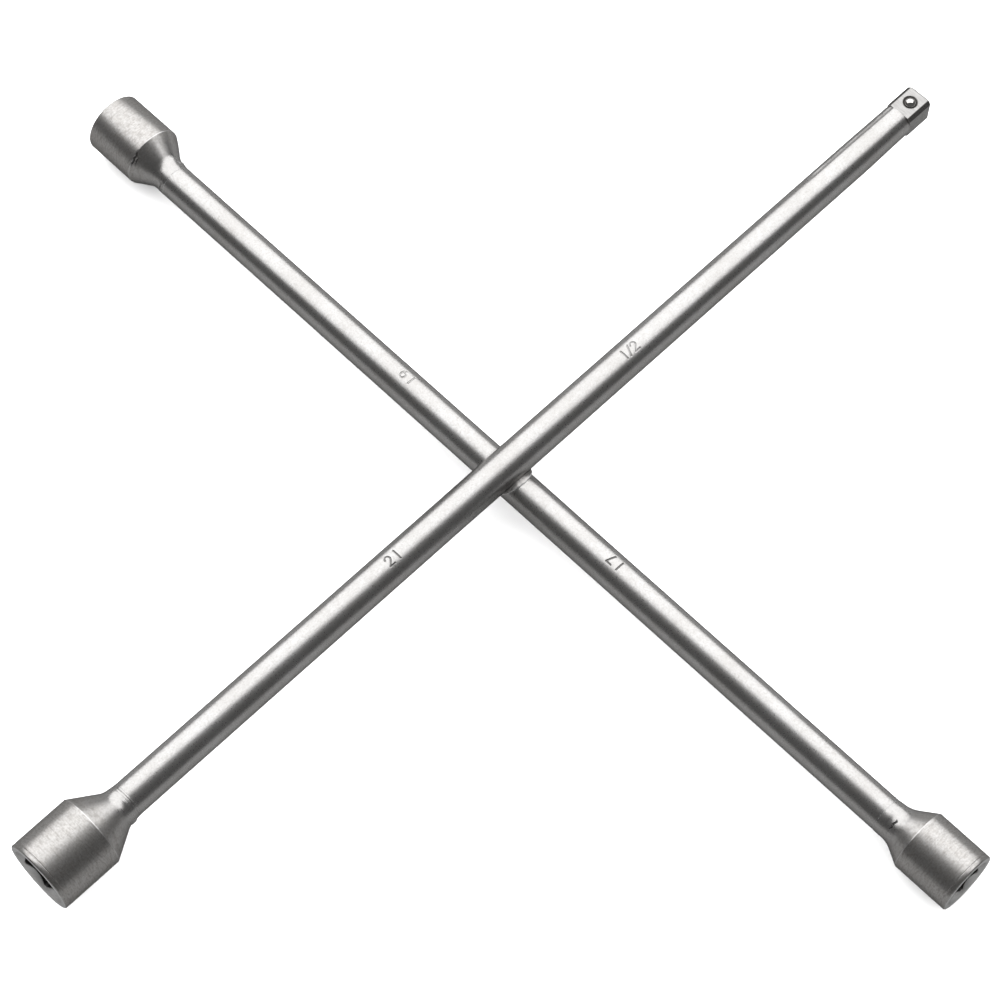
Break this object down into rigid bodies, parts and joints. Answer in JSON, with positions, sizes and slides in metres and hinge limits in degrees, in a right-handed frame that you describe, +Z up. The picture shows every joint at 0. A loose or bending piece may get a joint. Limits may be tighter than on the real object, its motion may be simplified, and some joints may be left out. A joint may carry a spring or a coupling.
{
  "type": "lug wrench",
  "caption": "Cross-shaped lug wrench: round steel bars welded across each other, with hex socket heads and a square drive with a sprung detent ball, for wheel nuts.",
  "frame": {"origin": "under the middle of the wrench's box, at the height of its lowest point", "axes": "+X along the drive bar towards the square drive, +Y along the cross bar towards the 19 mm head, +Z up, with the drive bar on top"},
  "size_m": [0.4948, 0.4844, 0.0382],
  "materials": {
    "bar_chrome": "satin chrome plate on a drawn steel bar",
    "head_chrome": "satin chrome plate over fine turning marks",
    "weld_steel": "plated weld metal, slightly rough",
    "ball_steel": "polished ball",
    "spring_steel": "drawn spring wire, oiled"
  },
  "bodies": {
    "wrench": {"drive_bar": "bar_chrome", "cross_bar": "bar_chrome", "socket_head_21": "head_chrome", "socket_head_19": "head_chrome", "socket_head_17": "head_chrome", "centre_weld": "weld_steel", "detent_spring": "spring_steel"},
    "ball": {"detent_ball": "ball_steel"}
  },
  "joints": [
    {"name": "ball_press", "type": "slide", "parent": "wrench", "child": "ball", "axis": [0, 0, -1], "range_m": [0, 0.0013], "stiffness_N_per_m": 1200, "springref_m": -0.002, "deforming": ["detent_spring"]}
  ]
}
